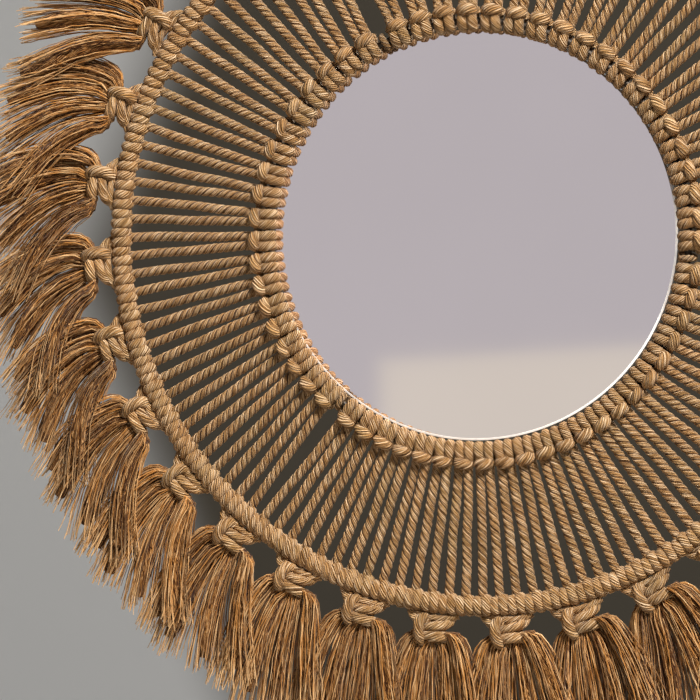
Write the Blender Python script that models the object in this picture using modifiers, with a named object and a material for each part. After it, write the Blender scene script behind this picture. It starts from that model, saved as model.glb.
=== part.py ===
"""Round wall mirror in a knotted cotton frame with a tassel fringe.

The frame is made of cords folded over an inner wire hoop, carried outwards as
spokes, hitched round an outer wire hoop and knotted in fours into tassels.
Metres, +Z up. The front faces -Y and the back lies on the plane Y = 0.
"""

import math

import bmesh
import bpy
from mathutils import Matrix, Vector

# Gaps between separate pieces
FIT_GAP = 0.0003
CORD_GAP = 0.00034

# Glass and backing board. The glass lies inside the inner hoop.
GLASS_INSET = 0.0035
GLASS_THICKNESS = 0.003
GLASS_BEVEL = 0.0008
BOARD_INSET = 0.0034
BOARD_THICKNESS = 0.005
DISC_SEGMENTS = 48

# Hanger let into the back of the board
HANGER_WIDTH = 0.046
HANGER_HEIGHT = 0.010
HANGER_SHEET = 0.0009
HANGER_RISE = 0.052
HANGER_TOOTH = 0.0016
HANGER_TEETH = 7
POCKET_DEPTH = 0.003
POCKET_MARGIN = 0.003
PIN_RADIUS = 0.0014
PIN_INSET = 0.004
PIN_SIDES = 8

# Wire hoops. The knotted frame hangs a little low and to one side on its ties.
WIRE_RADIUS = 0.0015
INNER_HOOP_RADIUS = 0.0915
OUTER_HOOP_RADIUS = 0.1572
HOOP_STANDOFF = 0.01305
FRAME_SHIFT_X = 0.0018
FRAME_DROP = 0.0012
WIRE_SIDES = 4
HOOP_SEGMENTS = 48

# Cords
TASSEL_COUNT = 30
CORD_RADIUS = 0.0020
SPOKE_SPACING = 0.0042
WRAP_THICKNESS = 0.0030
BORE_SLACK = 0.0007
BAR_SWELL = 0.0042
BAR_TURN = math.radians(28)
HEAD_SIDES = 6
WRAP_SIDES = 6
SPOKE_SIDES = 4
CROWDING = 0.08

# Ties that bind the frame to the board
TIE_AFTER_HEAD = (3, 22, 44)
TIE_PITCHES = 0.45
TIE_RADIUS = 0.0015
TIE_REACH = 0.006

# Knots and tassels
NECK_LENGTH = 0.0050
NECK_WIDTH = 0.0215
KNOT_LENGTH = 0.0135
KNOT_WIDTH = 0.0178
KNOT_THICKNESS = 0.0112
WAIST_WIDTH = 0.0112
WAIST_THICKNESS = 0.0080
TASSEL_LENGTH = 0.0540
TASSEL_WIDTH = 0.0310
TASSEL_THICKNESS = 0.0125
TASSEL_GAP = 0.0010
TASSEL_SIDES = 6
TASSEL_STEPS = 2
DROOP_LOW = 0.42
DROOP_START = math.radians(80)

FRONT = Vector((0, -1, 0))
HEADS_PER_TASSEL = 2
SPOKES_PER_TASSEL = 2 * HEADS_PER_TASSEL
HEAD_COUNT = HEADS_PER_TASSEL * TASSEL_COUNT
TASSEL_PITCH = 2 * math.pi / TASSEL_COUNT
GLASS_RADIUS = INNER_HOOP_RADIUS - GLASS_INSET
BOARD_RADIUS = GLASS_RADIUS - BOARD_INSET
GLASS_BACK = BOARD_THICKNESS + FIT_GAP
WRAP_RADIUS = WIRE_RADIUS + WRAP_THICKNESS
BORE_RADIUS = WIRE_RADIUS + BORE_SLACK


def clear_scene():
    """Remove every object, so that the model starts from nothing."""
    for thing in list(bpy.data.objects):
        bpy.data.objects.remove(thing, do_unlink=True)


def make_collection(name):
    """Add a collection to the scene."""
    group = bpy.data.collections.new(name)
    bpy.context.scene.collection.children.link(group)
    return group


def make_material(name, colour, roughness, metallic):
    """One Principled material with plain values."""
    material = bpy.data.materials.new(name)
    material.use_nodes = True
    shader = material.node_tree.nodes["Principled BSDF"]
    shader.inputs["Base Color"].default_value = (*colour, 1.0)
    shader.inputs["Roughness"].default_value = roughness
    shader.inputs["Metallic"].default_value = metallic
    return material


def mesh_object(name, bm, material, collection):
    """Turn a bmesh into a named object with its material."""
    bmesh.ops.recalc_face_normals(bm, faces=bm.faces)
    mesh = bpy.data.meshes.new(name)
    bm.to_mesh(mesh)
    bm.free()
    thing = bpy.data.objects.new(name, mesh)
    if material:
        mesh.materials.append(material)
    collection.objects.link(thing)
    return thing


def combine(thing, tool, operation):
    """Cut a piece by a tool, or join the tool to it. Bodies that overlap are fused."""
    tool.hide_render = True
    tool.display_type = "WIRE"
    modifier = thing.modifiers.new(operation.title(), "BOOLEAN")
    modifier.operation = operation
    modifier.solver = "EXACT"
    modifier.use_self = True
    modifier.object = tool


def even_radius(radius, sides):
    """Corner radius of a polygon with the area of a circle."""
    slice_angle = 2 * math.pi / sides
    return radius * math.sqrt(slice_angle / math.sin(slice_angle))


def oval(width, thickness, sides, turn=0.0):
    """Outline points of an oval in its own plane."""
    scale = even_radius(1.0, sides)
    points = []
    for step in range(sides):
        angle = turn + 2 * math.pi * step / sides
        across = scale * width / 2 * math.cos(angle)
        points.append((across, scale * thickness / 2 * math.sin(angle)))
    return points


def section(centre, across, outline):
    """Place an outline in space, its second axis towards the front."""
    return [centre + across * u + FRONT * v for u, v in outline]


def add_loft(bm, sections):
    """Skin a row of sections into one closed body with flat ends."""
    rings = [[bm.verts.new(point) for point in ring] for ring in sections]
    count = len(rings[0])
    for lower, upper in zip(rings, rings[1:]):
        for step in range(count):
            after = (step + 1) % count
            bm.faces.new((lower[step], lower[after], upper[after], upper[step]))
    bm.faces.new(list(reversed(rings[0])))
    bm.faces.new(rings[-1])


def tube_sections(points, across, radius, sides):
    """Mitred sections of a bent tube whose path lies at right angles to a direction."""
    runs = [(after - before).normalized() for before, after in zip(points, points[1:])]
    sections = []
    for point, before, after in zip(points, runs[:1] + runs, runs + runs[-1:]):
        heading = (before + after).normalized()
        upright = across.cross(heading)
        outline = oval(2 * radius, 2 * radius / heading.dot(after), sides)
        sections.append([point + across * u + upright * v for u, v in outline])
    return sections


def outward(angle):
    """Direction away from the centre. Angle 0 is straight down, +90 to the right."""
    return Vector((math.sin(angle), 0, -math.cos(angle)))


def along(angle):
    """Direction round the ring, at right angles to outward."""
    return Vector((math.cos(angle), 0, math.sin(angle)))


def on_board(angle, radius, depth):
    """Point at a radius about the board's centre, in front of the back plane."""
    return outward(angle) * radius + FRONT * depth


def on_frame(angle, radius, depth=HOOP_STANDOFF):
    """Point at a radius about the knotted frame's own centre."""
    centre = Vector((FRAME_SHIFT_X, 0, -FRAME_DROP))
    return centre + outward(angle) * radius + FRONT * depth


def crowded(even_angle):
    """The cords sit closer together at the foot than at the top."""
    return even_angle - CROWDING * math.sin(even_angle)


def head_angle(index):
    """Place of a folded cord's head on the inner hoop, with room left for the ties."""
    ties_before = sum(1 for head in TIE_AFTER_HEAD if head < index)
    places = HEAD_COUNT + TIE_PITCHES * len(TIE_AFTER_HEAD)
    place = index + 0.5 + TIE_PITCHES * (ties_before - 0.5)
    return crowded(2 * math.pi * place / places - math.pi)


def tie_angle(head):
    """A tie sits midway between the head that it follows and the next one."""
    return (head_angle(head) + head_angle((head + 1) % HEAD_COUNT)) / 2


def tassel_angle(index, pitches=0.0):
    """Place on the outer hoop, counted in tassels from the top."""
    return crowded(TASSEL_PITCH * (index + 0.5 + pitches) - math.pi)


def inner_span(index):
    """Width of a head, from its distance to the nearer neighbour."""
    here = head_angle(index)
    before = head_angle(index - 1) if index else head_angle(HEAD_COUNT - 1) - 2 * math.pi
    after = head_angle(index + 1) if index + 1 < HEAD_COUNT else head_angle(0) + 2 * math.pi
    nearest = min(here - before, after - here)
    return 2 * (INNER_HOOP_RADIUS - WRAP_RADIUS) * math.tan(nearest / 2) - CORD_GAP


def head_outline():
    """Cords wrapped round the wire, with the fold lying over the outer front."""
    points = []
    for step in range(HEAD_SIDES):
        angle = BAR_TURN + 2 * math.pi * step / HEAD_SIDES
        towards_bar = max(0.0, math.cos(angle - BAR_TURN))
        radius = even_radius(WRAP_RADIUS, HEAD_SIDES) + BAR_SWELL * towards_bar ** 3
        points.append((radius * math.cos(angle), radius * math.sin(angle)))
    return points


def bore_outline():
    """Outline of the bore that a wire hoop runs through."""
    return oval(2 * BORE_RADIUS, 2 * BORE_RADIUS, WIRE_SIDES, math.pi / WIRE_SIDES)


def add_collar(bm, bores, centre, angle, width, outline):
    """A short straight sleeve on the inner hoop, and its bore."""
    half = along(angle) * width / 2
    over = along(angle) * CORD_GAP / 3
    out = outward(angle)
    add_loft(bm, [section(centre + half * side, out, outline) for side in (-1, 1)])
    ends = [centre + (half + over) * side for side in (-1, 1)]
    add_loft(bores, [section(end, out, bore_outline()) for end in ends])


def add_head(bm, bores, index):
    """One cord folded over the inner hoop, and the bore that the wire fills."""
    angle = head_angle(index)
    centre = on_frame(angle, INNER_HOOP_RADIUS)
    add_collar(bm, bores, centre, angle, inner_span(index), head_outline())


def add_hitches(bm, bores, index):
    """The cords' hitches round the outer hoop, as one bent sleeve with its bore."""
    gap = CORD_GAP / OUTER_HOOP_RADIUS / 2
    start, middle, end = [tassel_angle(index, share) for share in (-0.5, 0, 0.5)]
    wrap = oval(2 * WRAP_RADIUS, 2 * WRAP_RADIUS, WRAP_SIDES, math.pi / WRAP_SIDES)
    sleeve = []
    for angle in (start + gap, middle, end - gap):
        sleeve.append(section(on_frame(angle, OUTER_HOOP_RADIUS), outward(angle), wrap))
    add_loft(bm, sleeve)
    channel = []
    for angle in (start, middle, end):
        channel.append(section(on_frame(angle, OUTER_HOOP_RADIUS), outward(angle), bore_outline()))
    add_loft(bores, channel)


def add_spokes(bm, index):
    """Two spokes leave each head side by side and fan out to the outer hoop."""
    outline = oval(2 * CORD_RADIUS, 2 * CORD_RADIUS, SPOKE_SIDES, math.pi / SPOKE_SIDES)
    start_radius = INNER_HOOP_RADIUS + (BORE_RADIUS + WRAP_RADIUS) / 2
    end_radius = OUTER_HOOP_RADIUS - (BORE_RADIUS + WRAP_RADIUS) / 2
    for number in range(SPOKES_PER_TASSEL):
        head = head_angle(HEADS_PER_TASSEL * index + number // 2)
        side = SPOKE_SPACING / 2 * (2 * (number % 2) - 1)
        start = on_frame(head, start_radius) + along(head) * side
        outer = tassel_angle(index, (number + 0.5) / SPOKES_PER_TASSEL - 0.5)
        end = on_frame(outer, end_radius)
        add_loft(bm, [section(start, along(head), outline), section(end, along(outer), outline)])


def tassel_heading(angle):
    """Direction of a tassel's tip: it stands out from the hoop and droops with its weight."""
    size = abs(angle)
    share = min(1.0, max(0.0, (size - DROOP_START) / (math.pi - DROOP_START)))
    ease = share * share * (3 - 2 * share)
    return angle * (DROOP_LOW + (1 - DROOP_LOW) * ease)


def tassel_room(index, share):
    """Room across a tassel part of the way down: its neighbours' distance, less the slant."""
    angle = tassel_angle(index)
    before = tassel_angle(index, -0.5)
    after = tassel_angle(index, 0.5)
    radius = OUTER_HOOP_RADIUS + NECK_LENGTH + KNOT_LENGTH
    slant = math.cos(angle - tassel_heading(angle))
    fanning = tassel_heading(after) - tassel_heading(before)
    room = radius * (after - before) * slant + share * TASSEL_LENGTH * fanning
    return (room - TASSEL_GAP) / even_radius(1.0, TASSEL_SIDES)


def tassel_sections(index):
    """Neck, square knot, waist and fringe as a row of sections that bends with the droop."""
    angle = tassel_angle(index)
    level = OUTER_HOOP_RADIUS + (BORE_RADIUS + WRAP_RADIUS) / 2
    knot = OUTER_HOOP_RADIUS + NECK_LENGTH
    rows = [
        (level, NECK_WIDTH, 2 * CORD_RADIUS),
        (knot + KNOT_LENGTH / 2, KNOT_WIDTH, KNOT_THICKNESS),
        (knot + KNOT_LENGTH, WAIST_WIDTH, WAIST_THICKNESS),
    ]
    sections = []
    for radius, width, thickness in rows:
        outline = oval(width, thickness, TASSEL_SIDES)
        sections.append(section(on_frame(angle, radius), along(angle), outline))
    place = on_frame(angle, rows[-1][0])
    for step in range(1, TASSEL_STEPS + 1):
        share = step / TASSEL_STEPS
        turned = 1 - (1 - share) ** 2
        heading = angle + (tassel_heading(angle) - angle) * turned
        place = place + outward(heading) * TASSEL_LENGTH / TASSEL_STEPS
        width = WAIST_WIDTH + (TASSEL_WIDTH - WAIST_WIDTH) * math.sqrt(share)
        width = min(width, tassel_room(index, share))
        thickness = WAIST_THICKNESS + (TASSEL_THICKNESS - WAIST_THICKNESS) * math.sqrt(share)
        sections.append(section(place, along(heading), oval(width, thickness, TASSEL_SIDES)))
    return sections


def build_cord_group(index, material, collection, cutters):
    """Two folded cords: their heads, four spokes, hitches, square knot and tassel."""
    body = bmesh.new()
    bores = bmesh.new()
    for number in range(HEADS_PER_TASSEL):
        add_head(body, bores, HEADS_PER_TASSEL * index + number)
    add_spokes(body, index)
    add_hitches(body, bores, index)
    add_loft(body, tassel_sections(index))
    name = "cord_group_%02d" % (index + 1)
    group = mesh_object(name, body, material, collection)
    combine(group, mesh_object(name + "_bores", bores, None, cutters), "DIFFERENCE")


def build_hoop(name, radius, material, collection):
    """A closed wire hoop."""
    bpy.ops.mesh.primitive_torus_add(
        major_segments=HOOP_SEGMENTS, minor_segments=WIRE_SIDES, major_radius=radius,
        minor_radius=WIRE_RADIUS, location=(FRAME_SHIFT_X, -HOOP_STANDOFF, -FRAME_DROP),
        rotation=(math.pi / 2, 0, 0))
    hoop = bpy.context.object
    hoop.name = name
    hoop.data.materials.append(material)
    hoop.data.shade_smooth()
    for group in list(hoop.users_collection):
        group.objects.unlink(hoop)
    collection.objects.link(hoop)


def build_disc(name, radius, thickness, back, material, collection):
    """A round plate whose back face lies at a distance in front of the back plane."""
    bm = bmesh.new()
    bmesh.ops.create_cone(
        bm, cap_ends=True, segments=DISC_SEGMENTS, radius1=radius, radius2=radius,
        depth=thickness, matrix=Matrix.Rotation(math.pi / 2, 4, "X"))
    disc = mesh_object(name, bm, material, collection)
    disc.location = FRONT * (back + thickness / 2)
    return disc


def build_glass(material, collection):
    """Mirror glass with a polished bevel round its front edge."""
    glass = build_disc("mirror_glass", GLASS_RADIUS, GLASS_THICKNESS, GLASS_BACK,
                       material, collection)
    front = -GLASS_THICKNESS / 2
    weights = glass.data.attributes.new("bevel_weight_edge", "FLOAT", "EDGE")
    for edge in glass.data.edges:
        heights = [glass.data.vertices[corner].co.y for corner in edge.vertices]
        weights.data[edge.index].value = float(max(heights) < front + GLASS_BEVEL / 2)
    bevel = glass.modifiers.new("Polished edge", "BEVEL")
    bevel.limit_method = "WEIGHT"
    bevel.width = GLASS_BEVEL
    bevel.segments = 1


def add_block(bm, centre, size):
    """A box about a centre."""
    place = Matrix.Translation(centre) @ Matrix.Diagonal((*size, 1.0))
    bmesh.ops.create_cube(bm, size=1.0, matrix=place)


def build_board(material, collection, cutters):
    """Backing board with a pocket for the hanger and a notch for each tie."""
    board = build_disc("backing_board", BOARD_RADIUS, BOARD_THICKNESS, 0, material, collection)
    bm = bmesh.new()
    pocket = Vector((HANGER_WIDTH + 2 * POCKET_MARGIN, 2 * POCKET_DEPTH,
                     HANGER_HEIGHT + 2 * POCKET_MARGIN))
    add_block(bm, Vector((0, 0, HANGER_RISE)), pocket)
    for head in TIE_AFTER_HEAD:
        angle = notch_angle(head)
        width = 2 * (even_radius(TIE_RADIUS, WRAP_SIDES) + FIT_GAP)
        middle = on_board(angle, BOARD_RADIUS, BOARD_THICKNESS / 2)
        turn = Matrix.Rotation(-angle, 4, "Y")
        size = Vector((width, 2 * BOARD_THICKNESS, 2 * (TIE_REACH + FIT_GAP)))
        place = Matrix.Translation(middle) @ turn @ Matrix.Diagonal((*size, 1.0))
        bmesh.ops.create_cube(bm, size=1.0, matrix=place)
    combine(board, mesh_object("backing_board_cuts", bm, None, cutters), "DIFFERENCE")


def build_hanger(material, collection, cutters):
    """Toothed steel strip on two pins, level with the board's back."""
    lower = -HANGER_HEIGHT / 2
    toothed = HANGER_WIDTH - 4 * PIN_INSET
    outline = [(-HANGER_WIDTH / 2, -lower), (-HANGER_WIDTH / 2, lower)]
    pitch = toothed / HANGER_TEETH
    for tooth in range(HANGER_TEETH):
        left = -toothed / 2 + pitch * tooth
        outline.append((left, lower))
        outline.append((left + pitch / 2, lower + HANGER_TOOTH))
    outline += [(toothed / 2, lower), (HANGER_WIDTH / 2, lower), (HANGER_WIDTH / 2, -lower)]
    across = Vector((1, 0, 0))
    bm = bmesh.new()
    strip = []
    for depth in (FIT_GAP, FIT_GAP + HANGER_SHEET):
        strip.append([across * u + FRONT * depth + Vector((0, 0, HANGER_RISE + v))
                      for u, v in outline])
    add_loft(bm, strip)
    pins = bmesh.new()
    reach = POCKET_DEPTH - 2 * FIT_GAP - HANGER_SHEET / 2
    for side in (-1, 1):
        centre = Vector((side * (HANGER_WIDTH / 2 - PIN_INSET), 0, HANGER_RISE))
        centre += FRONT * (FIT_GAP + HANGER_SHEET / 2 + reach / 2)
        place = Matrix.Translation(centre) @ Matrix.Rotation(math.pi / 2, 4, "X")
        bmesh.ops.create_cone(pins, cap_ends=True, segments=PIN_SIDES, radius1=PIN_RADIUS,
                              radius2=PIN_RADIUS, depth=reach, matrix=place)
    hanger = mesh_object("sawtooth_hanger", bm, material, collection)
    combine(hanger, mesh_object("hanger_pins", pins, None, cutters), "UNION")


def notch_angle(head):
    """Direction, from the board's centre, of the place where a tie leaves the frame."""
    place = on_frame(tie_angle(head), INNER_HOOP_RADIUS)
    return math.atan2(place.x, -place.z)


def build_tie(number, head, material, collection, cutters):
    """A loop round the inner hoop whose tail runs past the glass into the board's notch."""
    angle = tie_angle(head)
    centre = on_frame(angle, INNER_HOOP_RADIUS)
    body = bmesh.new()
    bores = bmesh.new()
    wrap = oval(2 * WRAP_RADIUS, 2 * WRAP_RADIUS, WRAP_SIDES)
    add_collar(body, bores, centre, angle, 2 * TIE_RADIUS, wrap)
    notch = notch_angle(head)
    past_glass = GLASS_RADIUS + FIT_GAP + even_radius(TIE_RADIUS, WRAP_SIDES)
    route = [
        centre - FRONT * (BORE_RADIUS + WRAP_RADIUS) / 2,
        on_board(notch, past_glass, GLASS_BACK + GLASS_THICKNESS),
        on_board(notch, past_glass, BOARD_THICKNESS / 2),
        on_board(notch, BOARD_RADIUS - TIE_REACH, BOARD_THICKNESS / 2),
    ]
    add_loft(body, tube_sections(route, along(notch), TIE_RADIUS, WRAP_SIDES))
    name = "tie_cord_%d" % number
    tie = mesh_object(name, body, material, collection)
    combine(tie, mesh_object(name + "_bore", bores, None, cutters), "DIFFERENCE")


def main():
    """Build every piece of the mirror."""
    clear_scene()
    pieces = make_collection("wall_mirror")
    cutters = make_collection("cutters")
    glass = make_material("Silvered glass", (0.72, 0.70, 0.73), 0.03, 1.0)
    board = make_material("Painted board", (0.12, 0.11, 0.10), 0.75, 0.0)
    cord = make_material("Cotton cord", (0.51, 0.30, 0.15), 0.95, 0.0)
    wire = make_material("Hoop wire", (0.55, 0.53, 0.50), 0.40, 1.0)
    steel = make_material("Zinc plated steel", (0.58, 0.57, 0.55), 0.35, 1.0)
    build_glass(glass, pieces)
    build_board(board, pieces, cutters)
    build_hanger(steel, pieces, cutters)
    build_hoop("inner_hoop", INNER_HOOP_RADIUS, wire, pieces)
    build_hoop("outer_hoop", OUTER_HOOP_RADIUS, wire, pieces)
    for number, head in enumerate(TIE_AFTER_HEAD, start=1):
        build_tie(number, head, cord, pieces, cutters)
    for index in range(TASSEL_COUNT):
        build_cord_group(index, cord, pieces, cutters)


main()
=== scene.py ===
"""Round wall mirror in a knotted cotton frame with a tassel fringe: its finished look.

Every cord is made as the real one runs: folded over the inner hoop, out as two
spokes, hitched round the outer hoop, knotted in fours and frayed into a tassel.
Metres, +Z up. The front faces -Y and the back lies on the plane Y = 0.
"""

import math
import random

import bmesh
import bpy
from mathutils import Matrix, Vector


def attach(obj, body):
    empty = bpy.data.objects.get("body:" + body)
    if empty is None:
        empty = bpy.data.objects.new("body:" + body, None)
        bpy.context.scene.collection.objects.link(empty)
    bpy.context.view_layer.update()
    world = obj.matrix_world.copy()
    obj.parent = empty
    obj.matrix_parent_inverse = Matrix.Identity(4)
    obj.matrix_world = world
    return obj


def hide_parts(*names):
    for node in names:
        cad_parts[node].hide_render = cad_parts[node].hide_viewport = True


bl_info = {
    "name": "Knotted Wall Mirror",
    "version": (1, 0, 0),
    "blender": (4, 5, 0),
    "location": "View3D > Sidebar > Mirror",
    "description": "Cords, knots, tassels, glass and stage for a round knotted wall mirror",
    "category": "Object",
}

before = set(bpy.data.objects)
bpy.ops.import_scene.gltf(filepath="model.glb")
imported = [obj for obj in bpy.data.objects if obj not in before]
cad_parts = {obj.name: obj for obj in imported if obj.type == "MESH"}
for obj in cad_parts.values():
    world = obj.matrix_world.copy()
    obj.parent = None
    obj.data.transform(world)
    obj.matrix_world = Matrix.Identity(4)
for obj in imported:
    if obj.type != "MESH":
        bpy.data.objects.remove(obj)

# The frame's fixed layout, as in the part's own source
WIRE_RADIUS = 0.0015
INNER_HOOP_RADIUS = 0.0915
OUTER_HOOP_RADIUS = 0.1572
HOOP_STANDOFF = 0.01305
FRAME_SHIFT_X = 0.0018
FRAME_DROP = 0.0012
TASSEL_COUNT = 30
HEADS_PER_TASSEL = 2
SPOKES_PER_TASSEL = 4
HEAD_COUNT = HEADS_PER_TASSEL * TASSEL_COUNT
SPOKE_COUNT = SPOKES_PER_TASSEL * TASSEL_COUNT
TASSEL_PITCH = 2 * math.pi / TASSEL_COUNT
HITCH_COUNT = 2 * SPOKE_COUNT
CROWDING = 0.08
TIE_AFTER_HEAD = (3, 22, 44)
TIE_PITCHES = 0.45
GLASS_RADIUS = 0.0880
GLASS_BACK = 0.0053
GLASS_THICKNESS = 0.003
BOARD_RADIUS = 0.0846
BOARD_THICKNESS = 0.005
TIE_REACH = 0.006
TIE_PAST_GLASS = 0.0899
DROOP_START = math.radians(78)

FRONT = Vector((0, -1, 0))
CORD_NODES = ["cord_group_%02d" % (index + 1) for index in range(TASSEL_COUNT)]


# Sizes and colours


def linear(code):
    """Turn an sRGB hex colour into linear values."""
    channels = [int(code[place:place + 2], 16) / 255 for place in (1, 3, 5)]
    return [c / 12.92 if c <= 0.04045 else ((c + 0.055) / 1.055) ** 2.4 for c in channels]


def colour_property(name, description, code):
    """A colour that the user may change."""
    return bpy.props.FloatVectorProperty(
        name=name, description=description, default=linear(code), subtype="COLOR",
        size=3, min=0.0, max=1.0)


def length_property(name, description, default):
    """A length that the user may change."""
    return bpy.props.FloatProperty(
        name=name, description=description, default=default, unit="LENGTH", min=0.0,
        precision=5)


def share_property(name, description, default):
    """A share that the user may change."""
    return bpy.props.FloatProperty(
        name=name, description=description, default=default, subtype="FACTOR", min=0.0,
        max=1.0)


def angle_property(name, description, degrees):
    """An angle that the user may change."""
    return bpy.props.FloatProperty(
        name=name, description=description, default=math.radians(degrees), unit="ROTATION")


def count_property(name, description, default, low):
    """A number that the user may change."""
    return bpy.props.IntProperty(
        name=name, description=description, default=default, min=low)


class CordSizes(bpy.types.PropertyGroup):
    """Sizes of the laid cotton cord and of what it is knotted into."""

    lay: length_property("Lay", "Length of cord for one turn of a ply", 0.0096)
    groove: share_property(
        "Groove", "Depth of the grooves between plies, as a share of the radius", 0.24)
    step: length_property("Step", "Distance between two rings of a cord's skin", 0.00100)
    spoke: length_property("Spoke radius", "Radius of a stretched spoke", 0.00206)
    loop: length_property("Loop radius", "Radius of a cord that is bent over the hoop", 0.00232)
    bar: length_property("Fold radius", "Radius of the puffed fold across each head", 0.00258)
    hitch: length_property("Hitch radius", "Radius of a cord hitched on the outer hoop", 0.00258)
    ring: length_property("Wrapped radius", "Radius of a hoop with its cord wrapped on", 0.00458)
    knot: length_property("Knot radius", "Radius of the cords in the square knots", 0.00235)
    tie: length_property("Tie radius", "Radius of the tie cords", 0.0015)


class FringeSizes(bpy.types.PropertyGroup):
    """Sizes of the frayed tassels."""

    yarns: count_property("Yarns", "Yarns in a tassel", 184, 4)
    length: length_property("Length", "Length of the fringe below the knot", 0.0530)
    lock: length_property("Lock radius", "Radius of a frayed cord end at its tip", 0.0074)
    flatness: share_property(
        "Flatness", "Depth of a frayed cord end as a share of its width", 0.85)
    fan: angle_property("Fan", "Turn of a tassel's outer cord ends away from its middle", 7)
    side_fan: angle_property(
        "Side fan", "Added droop of the lower cord ends at the mirror's sides", 26)
    yarn: length_property("Yarn radius", "Radius of one yarn", 0.00023)
    crimp: length_property("Crimp", "Sideways reach of a yarn's waves", 0.0009)
    droop: share_property("Droop", "Share of the radial angle that a drooping tip keeps", 0.42)
    seed: count_property("Seed", "Seed of the fringe", 7, 0)


class FinishColours(bpy.types.PropertyGroup):
    """Colours of the finished pieces."""

    cotton: colour_property("Cotton", "Lit cotton cord", "#B98A54")
    cotton_olive: colour_property("Cotton patch", "Patches of greener dye", "#A78653")
    cotton_light: colour_property("Cotton crest", "Crests of the yarns", "#F6D8B2")
    # Dark fibres, and the painted shade in the grooves between the plies and the yarns
    cotton_dark_fibres_and_groove_shade: colour_property("Cotton groove", "Grooves between the yarns", "#3D1E07")
    fringe: colour_property("Fringe", "Frayed yarns", "#B47A3B")
    fringe_light: colour_property("Fringe crest", "Lit lengths of the yarns", "#F8D09A")
    # Dark yarns, and the painted shade in the gaps between the yarns
    fringe_dark_yarns_and_gap_shade: colour_property("Fringe gap", "Gaps between the yarns", "#381802")
    glass: colour_property("Mirror", "Silvered glass", "#E9E3E8")
    # The bevel's colour, also that of its painted glint
    edge: colour_property("Glass edge", "Polished bevel", "#F6F6F4")
    paint: colour_property("Backing paint", "Grey paint behind the silver", "#6E6F70")
    board: colour_property("Board", "Fibreboard", "#8A6A48")
    # Its darkness is a painted shade in the gaps between cords
    wire: colour_property("Hoop wire", "Darkened steel wire", "#4E4740")
    zinc: colour_property("Zinc", "Zinc plated hanger", "#B4B5B6")
    floor: colour_property("Floor", "Studio floor", "#B9B4AC")
    # The backdrop's dark colour is a painted shadow of the frame
    backdrop: colour_property("Backdrop", "Studio backdrop behind the mirror", "#5A5449")
    backdrop_light: colour_property("Backdrop side", "Its paler side", "#EDEFF0")
    room: colour_property("Room", "Pale room in front, which the mirror shows", "#C6C2C2")
    room_low: colour_property("Room foot", "Lighter foot of that room", "#E4DDCE")


# Layout of the cords, as in the part's own source


def outward(angle):
    """Direction away from the centre. Angle 0 is straight down, +90 to the right."""
    return Vector((math.sin(angle), 0, -math.cos(angle)))


def along(angle):
    """Direction round the ring, at right angles to outward."""
    return Vector((math.cos(angle), 0, math.sin(angle)))


def on_board(angle, radius, depth):
    """Point at a radius about the board's centre, in front of the back plane."""
    return outward(angle) * radius + FRONT * depth


def on_frame(angle, radius, depth=0.0):
    """Point at a radius about the knotted frame's centre, in front of the hoops' plane."""
    centre = Vector((FRAME_SHIFT_X, 0, -FRAME_DROP))
    return centre + outward(angle) * radius + FRONT * (HOOP_STANDOFF + depth)


def crowded(even_angle):
    """The cords sit closer together at the foot than at the top."""
    return even_angle - CROWDING * math.sin(even_angle)


def head_angle(index):
    """Place of a folded cord's head on the inner hoop, with room left for the ties."""
    ties_before = sum(1 for head in TIE_AFTER_HEAD if head < index)
    places = HEAD_COUNT + TIE_PITCHES * len(TIE_AFTER_HEAD)
    place = index + 0.5 + TIE_PITCHES * (ties_before - 0.5)
    return crowded(2 * math.pi * place / places - math.pi)


def tie_angle(head):
    """A tie sits midway between the head that it follows and the next one."""
    return (head_angle(head) + head_angle((head + 1) % HEAD_COUNT)) / 2


def tassel_angle(index, pitches=0.0):
    """Place on the outer hoop, counted in tassels from the top."""
    return crowded(TASSEL_PITCH * (index + 0.5 + pitches) - math.pi)


def tip_heading(angle, droop):
    """Direction of a tassel's tip, which droops with its weight."""
    share = (abs(angle) - DROOP_START) / (math.pi - DROOP_START)
    share = min(1.0, max(0.0, share)) ** 0.8
    return angle * (droop + (1 - droop) * share)


# Node trees


def feed(tree, node, feeds):
    """Feed a node's inputs by name or in order with values, sockets or other nodes. A node
    stands for its first open output."""
    for key, value in feeds.items() if isinstance(feeds, dict) else enumerate(feeds):
        if isinstance(value, bpy.types.Node):
            value = next(output for output in value.outputs if output.enabled)
        if isinstance(value, bpy.types.NodeSocket):
            tree.links.new(value, node.inputs[key])
        else:
            node.inputs[key].default_value = value


def add(tree, kind, feeds=(), **settings):
    """Add a node with its settings and its links."""
    node = tree.nodes.new(kind)
    for name, value in settings.items():
        setattr(node, name, value)
    feed(tree, node, feeds)
    return node


def add_row(tree, kind, value, *steps):
    """Send a value through a row of nodes, each with its operation and further feeds."""
    for operation, *others in steps:
        value = add(tree, kind, [value, *others], operation=operation)
    return value


def new_tree(name, sizes):
    """A geometry tree with named number inputs and a material input."""
    tree = bpy.data.node_groups.new(name, "GeometryNodeTree")
    kinds = dict.fromkeys(("Corners", "Plies", "Seed"), "Int")
    kinds.update(Geometry="Geometry", Material="Material")
    for label in ("Geometry", *sizes, "Material"):
        tree.interface.new_socket(
            label, in_out="INPUT", socket_type="NodeSocket" + kinds.get(label, "Float"))
    tree.interface.new_socket("Geometry", in_out="OUTPUT", socket_type="NodeSocketGeometry")
    return tree, tree.nodes.new("NodeGroupInput").outputs


def even_path(tree, given):
    """Chains of edges as rounded curves with a point at every step."""
    path = add(tree, "GeometryNodeMeshToCurve", [given["Geometry"]])
    path = add(tree, "GeometryNodeCurveSplineType", [path], spline_type="CATMULL_ROM")
    return add(tree, "GeometryNodeResampleCurve", {"Curve": path, "Length": given["Step"]},
               mode="LENGTH")


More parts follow.
